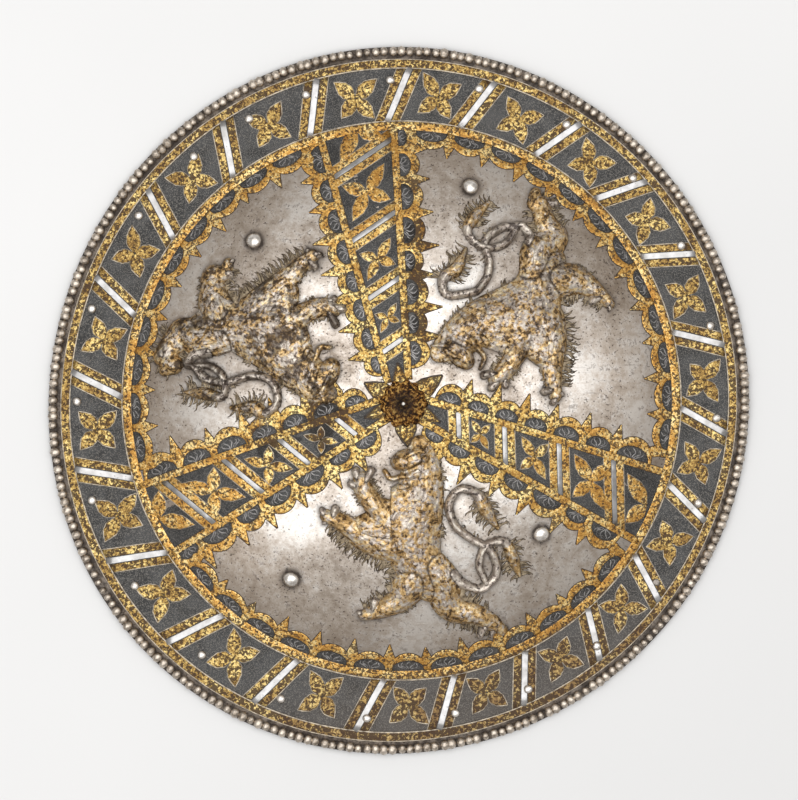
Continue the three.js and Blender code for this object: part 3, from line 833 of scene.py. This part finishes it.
def beadShape():
    count, around, rings = beads["count"], beads["around"], beads["rings"]
    local = np.random.default_rng(11)
    degrees = 360 * (np.arange(count) + local.normal(0, 0.07, count)) / count
    size = 1 + np.clip(local.normal(0, 0.08, count), -0.2, 0.1)
    worn = np.max([np.exp(-((degrees - centre) / width) ** 2) for centre, width in beads["flattened"]], 0)
    size = size * (1 - 0.3 * worn)
    tilt, turn = np.linspace(0, np.pi, rings + 2)[1:-1], circle(around)
    # an egg-shaped bead: long around the rim, wide across it, its axis out of the face
    ball = np.stack([np.outer(np.sin(tilt), np.cos(turn)) * beads["wide"],
                     np.outer(np.sin(tilt), np.sin(turn)) * beads["long"],
                     np.outer(-np.cos(tilt), np.ones(around)) * beads["tall"]], -1).reshape(-1, 3)
    ball = np.vstack([ball, [[0, 0, -beads["tall"]], [0, 0, beads["tall"]]]])
    radius, angle = shield["radius"] - shield["roll"], np.radians(degrees)
    seat = radius + outlineShift(radius, angle) + local.normal(0, 0.12, count)
    body = ball[None] * size[:, None, None]
    outward, sideways = seat[:, None] + body[..., 0], body[..., 1]
    cos, sin = np.cos(angle)[:, None], np.sin(angle)[:, None]
    points = np.stack([outward * cos - sideways * sin, outward * sin + sideways * cos,
                       beads["height"] + body[..., 2]], -1)
    base = (np.arange(count) * len(ball))[:, None, None]
    faces = [(f[None] + base).reshape(-1, f.shape[1]) for f in closedFaces(rings, around)]
    return points.reshape(-1, 3), faces


makePiece("rim_beads", "bead", beadShape())
print("rim made")

# The etched border.
border = {
    "inner": 139.8, "outer": 164.3, "slant": 25.0, "silver": 1.45, "gilt": 1.85, "gap": 0.35,
    "lineGap": 0.2, "lineHalf": 0.22, "lineCrown": 0.05, "flowerLine": 0.35, "flowerLook": "giltFine",
    "first": 11.8,
    # degrees from each slanted strip to the next, as listed
    "steps": [16.8, 15.2, 15.3, 16.5, 15, 16.2, 17.9, 17.6, 17.7, 17, 16.9, 16.7, 17.3, 18, 18.2, 14.5, 15.3,
              15.5, 14.7, 16.2, 15.8],
    # a flower's petals: directions from its outward line, lengths, half width
    "petalTurns": [34, 135, 224, 310], "petalLengths": [12.6, 12.2, 11.8, 12.4], "petalHalf": 3.4,
    # rings: radius, half width, added lift, crown
    "giltRings": [(166.4, 1.9, 0, 0.1), (137.4, 2.1, 0, 0.15)],
    "paleRings": [(164.3, 0.28, 0, 0.06), (139.9, 0.28, 0.02, 0.06), (168.45, 0.2, 0, 0.05)],
}
lifts = {"ground": 0.05, "dark": 0.10, "pale": 0.16, "gilt": 0.2, "silver": 0.2, "flower": 0.24}


def closedRing(radius, half, lift, crown, stations=720):
    # a flat ring laid on the face: its section is carried once around and joined up
    v = np.concatenate([acrossSteps, [1.0, -1.0]])
    rise = np.concatenate([lift + crown * (1 - acrossSteps ** 2), [-0.4, -0.4]])
    plan = polar(radius + (half * v)[:, None], np.linspace(0, 360, stations, endpoint=False)[None])
    points = onFace(plan[..., 0], plan[..., 1], np.repeat(rise[:, None], stations, 1))
    # the last round of faces leads back to the first round of points
    loop = ringFaces(len(v) + 1, stations) % (len(v) * stations)
    return points.reshape(-1, 3), [loop[:, ::-1]]


stripAngles = border["first"] + np.concatenate([[0], np.cumsum(border["steps"])])
flowerAngles = stripAngles + (np.append(stripAngles[1:], stripAngles[0] + 360) - stripAngles) / 2
middle = (border["inner"] + border["outer"]) / 2


def slantedStrips(offset, half, lift, crown):
    # each strip crosses the border at a slant, its outer end the more clockwise
    radii, lean = np.linspace(border["inner"] - 0.4, border["outer"] + 0.3, 7), math.radians(border["slant"])
    sideways = -(radii - middle) * math.tan(lean) + offset / math.cos(lean)
    degrees = stripAngles[:, None] + np.degrees(sideways / radii)[None]
    return inlay(polar(radii[None], degrees), np.full(degrees.shape, half), lift, crown)


def flowerPetals(centres, turns, lengths, halves, stations=17, grow=0.0):
    # leaf-shaped petals that start near each centre and run out at the given directions
    t = np.linspace(0, 1, stations)
    turns = np.radians(turns)
    way = np.stack([np.cos(turns), np.sin(turns)], -1)
    run = 0.3 + t[None] * (np.asarray(lengths)[:, None] - 0.3 + 1.6 * grow)
    paths = centres[:, None] + way[:, None] * run[..., None]
    widths = lobedWidths(stations)[None] * np.asarray(halves)[:, None] + grow * (1 - t ** 6)
    return paths, widths

def borderFlowers(grow):
    local, count = np.random.default_rng(5), len(flowerAngles)
    turns = (flowerAngles[:, None] - 90 + np.array(border["petalTurns"])).ravel()
    turns = turns + local.normal(0, 4, len(turns))
    lengths = np.tile(border["petalLengths"], count) * (1 + local.normal(0, 0.05, len(turns)))
    halves = np.full(len(turns), border["petalHalf"])
    return flowerPetals(np.repeat(polar(middle, flowerAngles), 4, 0), turns, lengths, halves, grow=grow)


# Three bands that taper towards the boss.
bands = {
    "directions": [99.4, 205.9, 336.9], "narrow": 4.0, "widen": 0.107,
    "line": 1.75, "start": 9.5, "end": 136.5,
    "slant": 25.0, "silver": 1.1, "gilt": 1.75, "gap": 0.3,
    "lineGap": 0.18, "lineHalf": 0.2, "lineCrown": 0.04, "flowerLine": 0.3, "flowerLook": "gilt",
    # a flower's petals: directions from the band's, and shares of its size
    "petals": [(66, 0.95), (145, 1.2), (243, 0.9), (320, 1.22)],
    # how far out along each band its strips and flowers lie
    "strips": [[27.4, 55.8, 87, 122], [30, 58.5, 86.7, 117], [30.6, 55.5, 85.1, 115.1]],
    "flowers": [[41.4, 71, 105, 137.5], [44.2, 73.1, 103.8, 135], [42.3, 71.4, 102.3, 133]],
    # ends of the scallops along each band: clockwise side, then anticlockwise side
    "leaves": [[[15, 30, 44.2, 60.5, 74.6, 91.4, 108.1, 123.6, 136],
                [14, 25.5, 40, 54.8, 69.2, 85, 101, 116.4, 134]],
               [[15.2, 27.9, 44.2, 60.5, 76.5, 95.2, 113.3, 133],
                [17, 32, 47, 66.4, 84.6, 101, 121.4, 136]],
               [[15.5, 28.2, 43.3, 59.6, 76, 95, 109.6, 127],
                [15, 29.5, 43.7, 58.7, 73.7, 90.5, 106.9, 127]]],
}
bandRun = np.linspace(bands["start"], bands["end"], 60)


def bandPoint(direction, u, v):
    # u runs out from the centre along the band, v across it, anticlockwise positive
    turn = math.radians(direction)
    return np.stack([u * math.cos(turn) - v * math.sin(turn), u * math.sin(turn) + v * math.cos(turn)], -1)


def bandHalf(u):
    return bands["narrow"] + bands["widen"] * u


def bandLines(half, lift, crown, sides=(-1, 1)):
    paths = [bandPoint(d, bandRun, side * bandHalf(bandRun)) for d in bands["directions"] for side in sides]
    return inlay(paths, np.broadcast_to(half, (len(paths), len(bandRun))), lift, crown)


def bandStrips(offset, half, lift, crown):
    lean, t = math.radians(bands["slant"]), np.linspace(-1, 1, 5)
    paths = []
    for direction, spots in zip(bands["directions"], bands["strips"]):
        for u in spots:
            v = t * (bandHalf(u) + 0.4)
            # the anticlockwise end lies nearer the centre
            paths.append(bandPoint(direction, u - v * math.tan(lean) + offset / math.cos(lean), v))
    return inlay(paths, np.full((len(paths), len(t)), half), lift, crown)


def bandFlowers(grow):
    # four petals of two lengths; the last flower of a band is half hidden by the ring
    petals = []
    for direction, row in zip(bands["directions"], bands["flowers"]):
        for u in row:
            size = bandHalf(min(u, 122)) - bands["line"]
            petals += [(*bandPoint(direction, u, 0.0), direction + turn, size * share, size * 0.25)
                       for turn, share in bands["petals"] if u < 125 or math.cos(math.radians(turn)) <= 0]
    left, up, turns, lengths, halves = np.array(petals).T
    return flowerPetals(np.stack([left, up], -1), turns, lengths, halves, grow=grow)


# Scallops: a gilt arc around a dark lunette, and a pointed leaf between each two. The size is that
# of a scallop with the usual half span; squash is the share of a depth that shows on the slope.
scallops = {"deep": 6.1, "arcDeep": 10.3, "leaf": 15.8, "leafHalf": 2.5, "halfSpan": 7.8,
            "counts": [10, 13, 12], "squash": {"border": 0.78, "bands": 1.0},
            "scrolls": [24, 52, 90, 128, 156], "scrollHalf": 0.2, "outline": 0.38, "leafOutline": 0.4,
            "lunetteShare": 0.85}


def borderRow():
    # each part: feet, ways along and away from the gilt ring, half spans, leaf feet, leaf ways
    ring, directions, parts = shield["dome"] - 1.9, bands["directions"], []
    clear = math.degrees(math.asin((bandHalf(ring) + 9.0) / ring))
    ends = [*directions[1:], directions[0] + 360]
    for start, end, count in zip(directions, ends, scallops["counts"]):
        step = (end - start - 2 * clear) / count
        angles = start + clear + step * (np.arange(count) + 0.5)
        leafAngles = start + clear + step * np.arange(count + 1)
        out = polar(1.0, angles)
        parts.append((polar(ring, angles), -quarterTurn(out), -out,
                      np.full(count, math.radians(step) * ring * 0.5),
                      polar(ring, leafAngles), -polar(1.0, leafAngles)))
    return [np.concatenate(column) for column in zip(*parts)]


def bandRows():
    # the same parts, along both sides of each band
    parts = []
    for direction, rows in zip(bands["directions"], bands["leaves"]):
        for side, edges in zip((-1, 1), rows):
            edges = np.array(edges, float)
            u, inner = (edges[1:] + edges[:-1]) / 2, edges[1:-1]
            feet, leafFeet = (bandPoint(direction, at, side * (bandHalf(at) + bands["line"] - 0.3))
                              for at in (u, inner))
            lean = direction + math.degrees(math.atan(bands["widen"])) * side
            away = polar(1.0, lean + 90 * side)
            parts.append((feet, np.tile(polar(1.0, lean) * side, (len(u), 1)), np.tile(away, (len(u), 1)),
                          np.diff(edges) / 2, leafFeet, np.tile(away, (len(inner), 1))))
    return [np.concatenate(column) for column in zip(*parts)]


def scallopSet(tag, feet, ways, inwards, span, leafFeet, leafWays):
    def curves(across, deep):
        # curves given by how far across and how deep from each scallop's foot they run
        return feet[:, None] + ways[:, None] * across[..., None] + inwards[:, None] * deep[..., None]

    squash = scallops["squash"][tag]
    size = np.clip(span / scallops["halfSpan"], 0.75, 1.1)[:, None]
    deep, tall, across = (scallops["deep"] * squash * size, scallops["arcDeep"] * squash * size,
                          span[:, None] * scallops["lunetteShare"])
    # an arc from one foot over the crest to the other, broadest at the crest
    t = np.linspace(0, np.pi, 21)
    arcs = curves((across + 0.7) * np.cos(t), (deep + tall) / 2 * np.sin(t))
    widths = (tall - deep) / 2 * (0.3 + 0.7 * np.sin(t) ** 2)
    makePiece("arc_outline_" + tag, "darkLine", inlay(arcs, widths + scallops["outline"], lifts["dark"], 0))
    makePiece("gilt_arcs_" + tag, "gilt", inlay(arcs, widths, lifts["gilt"], 0.22))
    # lunette: straight up from the foot line, its width that of the ellipse
    t = np.linspace(0.02, 0.985, 8)
    chords = across * np.sqrt(1 - t ** 2) + 0.1
    spines = curves(0 * across * t, deep * t)
    makePiece("lunettes_" + tag, "ground", inlay(spines, chords, lifts["ground"] + 0.05, 0))
    # scrolls in the lunette: strokes fan out from its foot and curl at their ends
    s, strokes = np.linspace(0, 1, 7), []
    for index, angle in enumerate(np.radians(scallops["scrolls"])):
        curl = (angle - np.pi / 2) * -0.9 * s ** 2 + 0.35 * np.sin(s * 5 + index)
        reach = 0.12 + 0.74 * s
        strokes.append(curves(across * (reach * np.cos(angle + curl * 0.6)),
                              deep * (reach * np.sin(angle + curl * 0.6))))
    thin = scallops["scrollHalf"] * (0.6 + 0.8 * np.sin(np.linspace(0.3, np.pi - 0.2, 7)))
    strokes = np.concatenate(strokes)
    thin = np.tile(thin, (len(strokes), 1))
    makePiece("scrolls_" + tag, "scroll", inlay(strokes, thin, lifts["pale"], 0.05))
    # pointed leaves, broadest at the foot, with small lobes at each side
    run = np.linspace(0, 1, 13)
    size = (1 + np.random.default_rng(21).normal(0, 0.07, len(leafFeet)))[:, None, None]
    leaves = leafFeet[:, None] + leafWays[:, None] * (scallops["leaf"] * squash * run)[None, :, None] * size
    sheaf = scallops["leafHalf"] * np.interp(run, [0, 0.3, 0.5, 0.62, 1], [0.7, 0.8, 1.1, 0.8, 0.03])
    wide = np.tile(sheaf, (len(leaves), 1))
    makePiece("leaf_outline_" + tag, "darkLine",
              inlay(leaves, wide + scallops["leafOutline"], lifts["dark"], 0))
    makePiece("gilt_leaves_" + tag, "gilt", inlay(leaves, wide, lifts["flower"], 0.3, groove=0.22))


def patternSet(tag, strips, flowers, sizes):
    # slanted strips, the pale lines beside them, and the flowers between them
    side = sizes["silver"] + sizes["gap"] + sizes["gilt"]
    line = side + sizes["gilt"] + sizes["lineGap"]
    makePiece(tag + "_gilt_strips", "gilt",
              *(strips(way * side, sizes["gilt"], lifts["gilt"] - 0.03, 0.08) for way in (-1, 1)))
    makePiece(tag + "_strip_lines", "paleLine",
              *(strips(way * line, sizes["lineHalf"], lifts["pale"], sizes["lineCrown"]) for way in (-1, 1)))
    makePiece(tag + "_silver", "silver", strips(0, sizes["silver"], lifts["silver"], 0.1))
    makePiece(tag + "_flower_lines", "paleLine",
              inlay(*flowers(sizes["flowerLine"]), lifts["pale"] - 0.04, 0.0))
    makePiece(tag + "_flowers", sizes["flowerLook"], inlay(*flowers(0.0), lifts["flower"], 0.3, groove=0.25))


makePiece("border_ground", "ground",
          closedRing(middle, (border["outer"] - border["inner"]) / 2 + 0.2, lifts["ground"], 0))
for name, look, rings in (("gilt_rings", "gilt", "giltRings"), ("ring_lines", "paleLine", "paleRings")):
    makePiece(name, look, *(closedRing(radius, half, lifts["gilt"] + lift, crown)
                            for radius, half, lift, crown in border[rings]))
patternSet("border", slantedStrips, borderFlowers, border)
print("border made")

makePiece("band_grounds", "ground", bandLines(bandHalf(bandRun), lifts["ground"], 0.0, (0,)))
makePiece("band_outlines", "darkLine", bandLines(bands["line"] + 0.35, lifts["dark"], 0))
makePiece("band_lines", "gilt", bandLines(bands["line"], lifts["gilt"] + 0.03, 0.18))
patternSet("band", bandStrips, bandFlowers, bands)
scallopSet("border", *borderRow())
scallopSet("bands", *bandRows())
print("bands and scallops made")

# The leafy boss; a petal is a direction, how far out its tip lies, and a half width.
boss = {"radius": 11.8, "height": 5.5, "flutes": 13, "around": 130, "foot": -1.0, "petalFrom": 6,
        "petals": [[36, 23, 4.5], [152, 21, 4.6], [276, 20.5, 5.0],
                   [98, 19.5, 3.3], [200, 19.5, 3.3], [333, 19.5, 3.3]]}


def bossShape():
    # a low dome whose edge is scalloped and whose sides are fluted, sunk around a small point
    turn, share = circle(boss["around"]), np.linspace(1, 0, 26)[:-1, None]
    petalled = np.abs(np.cos(boss["flutes"] * turn / 2))[None]
    radius = boss["radius"] * share * (1 + 0.1 * (petalled - 0.6) * smoothStep(share, 0.35, 1.0))
    height = boss["height"] * (1 - share ** 2.6) ** 0.8 - 2.4 * np.exp(-(share / 0.2) ** 2)
    height = (height + 0.55 * (petalled ** 0.6 - 0.6) * smoothStep(share, 0.12, 0.5)
              + 1.1 * np.exp(-(share / 0.05) ** 2))
    radius = np.vstack([radius[:1], radius])
    height = np.vstack([np.full((1, boss["around"]), boss["foot"]), height])
    left, up = shield["boss"]
    rings = onFace(left + radius * np.cos(turn), up + radius * np.sin(turn), height)
    points = np.vstack([rings.reshape(-1, 3), onFace(left, up, boss["foot"]),
                        onFace(left, up, boss["height"] - 1.3)])
    return points, closedFaces(len(rings), boss["around"])


def bossPetals(grow):
    degrees, length, half = np.array(boss["petals"], float).T[:, :, None]
    t = np.linspace(0, 1, 12)
    run = boss["petalFrom"] + t * (length - boss["petalFrom"] + 2 * grow)
    paths = polar(1.0, degrees) * run[..., None] + np.array(shield["boss"])
    widths = np.interp(t, [0, 0.3, 0.5, 0.6, 0.72, 0.9, 1], [0.7, 1, 0.98, 0.75, 0.62, 0.25, 0.02]) * half
    return paths, widths + grow


makePiece("leafy_boss", "boss", bossShape())
makePiece("boss_petal_outlines", "darkLine", inlay(*bossPetals(0.5), 0.25, 0.0, sink=1.0))
makePiece("boss_petals", "petal", inlay(*bossPetals(0.0), 0.5, 1.3, sink=1.0, groove=0.5))
print("boss made")

# Floor, lights and camera.
stage = {"floor": 6.0, "keySize": 3.6, "keyHeight": 2.2, "keyPower": 52.0, "sidePower": 2.6,
         "rightPower": 1.7, "ambient": 0.62, "cameraHeight": 2.6, "view": 0.3993}
corners = np.array([(-1, -1, 0), (1, -1, 0), (1, 1, 0), (-1, 1, 0)]) * stage["floor"] * 500
floor = makeMesh("floor", "floor", corners, [np.array([[0, 1, 2, 3]])])


def areaLight(name, spot, size, power):
    # turned so that it faces the middle of the shield
    light = bpy.data.lights.new(name, "AREA")
    light.shape, light.size, light.energy = "DISK", size, power
    lamp = addObject(name, light)
    lamp.location = spot
    lamp.rotation_euler = (math.atan2(math.hypot(spot[0], spot[1]), spot[2]), 0,
                           math.atan2(spot[1], spot[0]) + math.pi / 2)
    lamp.visible_camera = False


areaLight("overhead softbox", (-0.12, 0.1, stage["keyHeight"]), stage["keySize"], stage["keyPower"])
areaLight("side softbox", (-1.2, -0.9, 1.4), 0.8, stage["sidePower"])
areaLight("right softbox", (1.3, 0.2, 1.25), 0.7, stage["rightPower"])

world = bpy.data.worlds.new("studio")
world.use_nodes = True
world.node_tree.nodes["Background"].inputs["Color"].default_value = (1.0, 0.985, 0.965, 1)
world.node_tree.nodes["Background"].inputs["Strength"].default_value = stage["ambient"]
bpy.context.scene.world = world
bpy.context.scene.view_settings.view_transform = "Standard"

cameraData = bpy.data.cameras.new("camera")
cameraData.sensor_width = 36.0
cameraData.lens = 36.0 * stage["cameraHeight"] / stage["view"]
camera = addObject("camera", cameraData)
camera.location = (-0.00125, 0.00025, stage["cameraHeight"] + 0.01)
bpy.context.scene.camera = camera
print("stage set")
